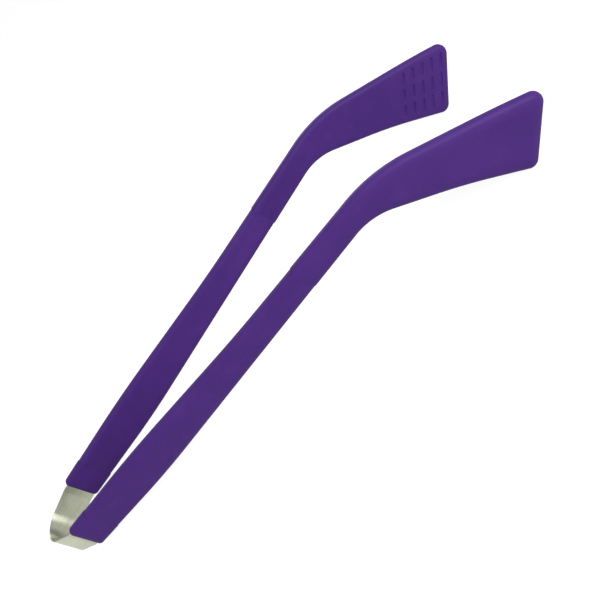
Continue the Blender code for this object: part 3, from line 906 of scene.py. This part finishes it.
@dataclass
class SpringStrip:
    """The U-bent spring strip, as two halves that meet at the apex of the bow."""

    stance: Stance
    material: bpy.types.Material
    thickness: float = 0.8 * MM
    width: float = 15.6 * MM
    middle: float = 0.5 * MM
    tongue_width: float = 9.6 * MM
    neck_at: float = 1.7 * MM
    neck_length: float = 0.5 * MM
    leg_length: float = 46.0 * MM
    edge_radius: float = 0.22 * MM
    arc_steps: int = 36
    shoulder_steps: int = 10
    hole_places: tuple[float, float] = (14.0 * MM, 36.0 * MM)
    hole_radius: float = 2.4 * MM

    def turn(self, form: bmesh.types.BMesh, geom: list, centre: Vector, angle: float, steps: int) -> list:
        """Spins a section on round an axis along the bow's width.

        Args:
            form: The mesh.
            geom: The section's vertices, edges and face.
            centre: The axis's place in the plane of the strip's path.
            angle: How far it turns, clockwise.
            steps: In how many steps.

        Returns:
            The last section.
        """
        return bmesh.ops.spin(
            form, geom=geom, cent=(centre.x, centre.y, 0), axis=(0, 0, -1), angle=angle, steps=steps,
            use_merge=False, use_duplicate=False,
        )["geom_last"]

    def draw(self, form: bmesh.types.BMesh, geom: list, move: Vector, narrowing: float = 1.0) -> list:
        """Draws a section on in a straight line.

        Args:
            form: The mesh.
            geom: The section.
            move: The line.
            narrowing: The new width over the old one.

        Returns:
            The new section.
        """
        faces = [item for item in geom if isinstance(item, bmesh.types.BMFace)]
        made = bmesh.ops.extrude_face_region(form, geom=faces)["geom"]
        bmesh.ops.delete(form, geom=faces, context="FACES_ONLY")
        verts = [item for item in made if isinstance(item, bmesh.types.BMVert)]
        bmesh.ops.translate(form, verts=verts, vec=(move.x, move.y, 0))
        bmesh.ops.scale(
            form, verts=verts, vec=(1, 1, narrowing), space=Matrix.Translation((0, 0, -self.middle))
        )
        return made

    def half(self) -> bmesh.types.BMesh:
        """Draws the left half: round the bow, up its slope, round the shoulder and into the arm.

        Returns:
            The closed half, in the tongs' own axes.
        """
        stance = self.stance
        form = bmesh.new()
        bmesh.ops.create_grid(form, x_segments=1, y_segments=1, size=0.5)
        bmesh.ops.rotate(form, verts=form.verts, matrix=Matrix.Rotation(math.pi / 2, 3, "X"))
        bmesh.ops.scale(form, verts=form.verts, vec=(self.thickness, 1, self.width))
        bmesh.ops.bevel(
            form, geom=form.verts[:], offset=self.edge_radius, affect="VERTICES", segments=4,
            profile=0.5, material=-1,
        )
        centre = Vector((stance.bow_centre, 0))
        bmesh.ops.translate(form, verts=form.verts, vec=(centre.x - stance.bow_radius, 0, self.middle))
        section = form.verts[:] + form.edges[:] + form.faces[:]
        section = self.turn(form, section, centre, math.pi / 2 - stance.bow_slope, self.arc_steps)

        uphill = Vector((math.cos(stance.bow_slope), math.sin(stance.bow_slope)))
        normal = Vector((uphill.y, -uphill.x))
        bend = stance.bow_slope - stance.arm_angle
        cut_back = stance.shoulder_radius * math.tan(bend / 2)
        arc_end = centre - stance.bow_radius * normal
        turn_start = stance.shoulder - cut_back * uphill
        section = self.draw(form, section, turn_start - arc_end)
        section = self.turn(
            form, section, turn_start + stance.shoulder_radius * normal, bend, self.shoulder_steps
        )

        along = Vector((math.cos(stance.arm_angle), math.sin(stance.arm_angle)))
        tongue = self.tongue_width / self.width
        section = self.draw(form, section, along * (stance.shoulder_at - cut_back + self.neck_at))
        section = self.draw(form, section, along * self.neck_length, tongue)
        self.draw(form, section, along * (self.leg_length - self.neck_at - self.neck_length))
        bmesh.ops.recalc_face_normals(form, faces=form.faces)
        return form

    def hole(self, place: float) -> bmesh.types.BMesh:
        """A rivet hole's cutter through the left leg, in the tongs' own axes.

        Args:
            place: Where the rivet is along the arm.

        Returns:
            The cutter.
        """
        form = bmesh.new()
        bmesh.ops.create_cone(
            form, cap_ends=True, segments=32, radius1=self.hole_radius, radius2=self.hole_radius, depth=6 * MM
        )
        matrix = self.stance.rest.inverted() @ self.stance.arm(Side.LEFT)
        matrix = matrix @ Matrix.Translation((place, self.middle, 0))
        bmesh.ops.transform(form, verts=form.verts, matrix=matrix)
        bmesh.ops.recalc_face_normals(form, faces=form.faces)
        return form

    def build(self) -> None:
        """Builds both halves. Each turns smoothly from the bow's apex to where its arm holds it."""
        stance = self.stance
        spring = None
        for side in Side:
            name = f"{side.word}_spring_half"
            mesh = carve(self.half(), [self.hole(place) for place in self.hole_places], name)
            mirror = Matrix.Diagonal((1, -side.value, 1, 1))
            finish_mesh(mesh, stance.rest @ mirror, 35)
            piece = new_piece(name, mesh, self.material)
            if spring is None:
                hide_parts("spring_strip")
                spring = piece
            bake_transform(piece)


@dataclass
class InnerParts:
    """The nylon cores and the steel rivets, which keep their CAD shapes."""

    nylon: bpy.types.Material
    steel: bpy.types.Material

    def build(self) -> None:
        """Gives each core and each rivet its finish."""
        for name, node in frame["nodes"].items():
            if name.endswith("_core"):
                dress(node, self.nylon)
                log.info("%s: glass-filled nylon", name)
            elif "_rivet_" in name:
                dress(node, self.steel)
                log.info("%s: stainless steel", name)


@dataclass
class Studio:
    """A pale floor, soft light and a camera."""

    floor_size: float = 6.0
    floor_colour: str = "#A8A8A8"
    floor_glow: float = 0.74
    surround: float = 0.6
    softbox_size: float = 0.5
    softboxes: tuple = (("front_softbox", (0.45, -0.6, 0.5), 7.5), ("back_softbox", (0.1, 0.9, 0.5), 4.0))
    camera_place: Vector = field(default_factory=lambda: Vector((0.07933, -0.30303, 0.20792)))
    camera_aim: Vector = field(default_factory=lambda: Vector((0.02189, -0.00641, 0.01217)))
    camera_roll: float = math.radians(-51.19)
    focal_length: float = 47.334
    sensor_width: float = 36.0

    def build_floor(self) -> None:
        """Lays a sheet of white acrylic, lit from below, just under the tongs."""
        form = bmesh.new()
        bmesh.ops.create_grid(form, x_segments=1, y_segments=1, size=self.floor_size / 2)
        floor = bpy.data.objects.new("floor", to_mesh(form, "floor"))
        floor.location = (0, 0, -0.05 * MM)
        bpy.context.scene.collection.objects.link(floor)
        material = bpy.data.materials.new("backlit_white_acrylic")
        material.use_nodes = True
        shader = material.node_tree.nodes["Principled BSDF"]
        shader.inputs["Base Color"].default_value = linear(self.floor_colour)
        shader.inputs["Roughness"].default_value = 0.9
        shader.inputs["Specular IOR Level"].default_value = 0.1
        shader.inputs["Emission Color"].default_value = (1.0, 1.0, 1.0, 1.0)
        lit = add_node(material.node_tree, "LightPath").outputs["Is Diffuse Ray"]
        glow = spread(material.node_tree, lit, (0.0, 1.0), (self.floor_glow, 0.0))
        material.node_tree.links.new(glow, shader.inputs["Emission Strength"])
        dress(floor, material)

    def build_light(self) -> None:
        """Surrounds the tongs with even light and adds a large softbox in front and a weak one behind."""
        world = bpy.data.worlds.new("studio")
        world.use_nodes = True
        background = world.node_tree.nodes["Background"]
        background.inputs["Color"].default_value = (1.0, 1.0, 1.0, 1.0)
        seen = add_node(world.node_tree, "LightPath").outputs["Is Camera Ray"]
        strength = spread(world.node_tree, seen, (0.0, 1.0), (self.surround, 1.0))
        world.node_tree.links.new(strength, background.inputs["Strength"])
        bpy.context.scene.world = world
        for name, place, power in self.softboxes:
            lamp = bpy.data.lights.new(name, "AREA")
            lamp.shape = "SQUARE"
            lamp.size = self.softbox_size
            lamp.energy = power
            softbox = bpy.data.objects.new(name, lamp)
            softbox.location = place
            softbox.rotation_euler = (-Vector(place)).to_track_quat("-Z", "Y").to_euler()
            bpy.context.scene.collection.objects.link(softbox)

    def build_camera(self) -> None:
        """Sets the camera, turned about its own axis so that the tongs run up to the right."""
        lens = bpy.data.cameras.new("camera")
        lens.lens = self.focal_length
        lens.sensor_width = self.sensor_width
        lens.clip_start = 0.01
        camera = bpy.data.objects.new("camera", lens)
        look = (self.camera_aim - self.camera_place).to_track_quat("-Z", "Y").to_matrix()
        matrix = (look @ Matrix.Rotation(self.camera_roll, 3, "Z")).to_4x4()
        matrix.translation = self.camera_place
        camera.matrix_world = matrix
        bpy.context.scene.collection.objects.link(camera)
        bpy.context.scene.camera = camera

    def build(self) -> None:
        """Builds the whole studio."""
        self.build_floor()
        self.build_light()
        self.build_camera()
        bpy.context.scene.view_settings.view_transform = "Standard"


def main() -> None:
    """Builds the tongs and the studio, in order."""
    stance = Stance()
    silicone = MouldedSilicone().material()
    nylon = GlassFilledNylon().material()
    steel = RolledSpringSteel(stance.tilt).material()
    cladding = ArmCladding(stance, silicone)
    for side in Side:
        cladding.build(side)
    SpringStrip(stance, steel).build()
    InnerParts(nylon, steel).build()
    Studio().build()


if __name__ == "__main__":
    main()
